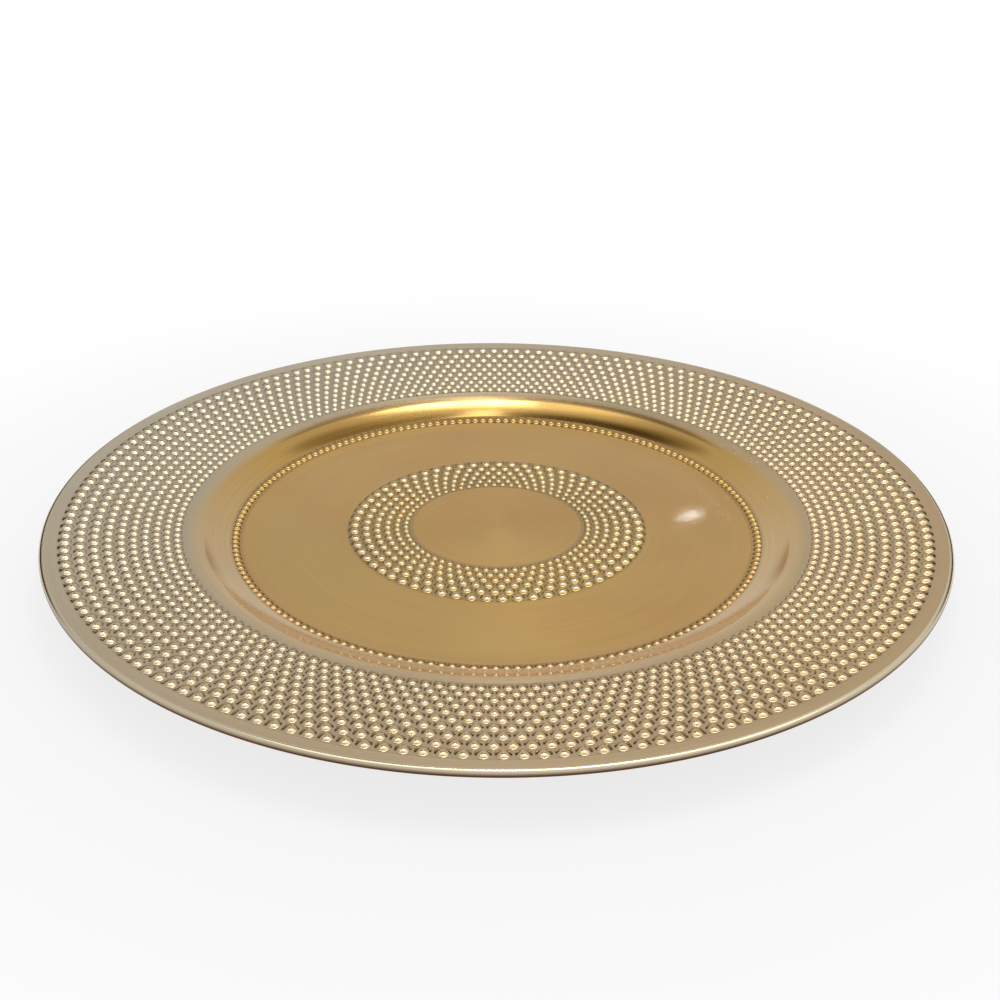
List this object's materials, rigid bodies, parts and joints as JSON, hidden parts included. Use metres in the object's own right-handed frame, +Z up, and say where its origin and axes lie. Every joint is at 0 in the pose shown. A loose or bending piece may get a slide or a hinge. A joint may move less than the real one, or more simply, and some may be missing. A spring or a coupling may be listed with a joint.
{
  "type": "charger plate",
  "caption": "Round gold plastic charger plate: shallow well with a beaded band at its centre, wide sloping rim covered in rows of round beads, plain round edge and low foot ring.",
  "frame": {"origin": "on the plate's axis, on the surface that the foot ring stands on", "axes": "+Z up along the plate's axis, out of the well; -Y is the side nearest the viewer in the picture, +X right"},
  "size_m": [0.33, 0.33, 0.0174],
  "materials": {
    "gold_satin": "satin metallic gold coat",
    "gold_bright": "bright metallic gold coat"
  },
  "bodies": {
    "root": {"centre_medallion": "gold_satin", "well_floor": "gold_satin", "rim_border": "gold_satin", "foot_ring": "gold_satin", "centre_bead_band": "gold_bright", "well_bead_ring": "gold_bright", "well_wall": "gold_bright", "rim_bead_band": "gold_bright", "rim_edge": "gold_bright"}
  },
  "joints": []
}
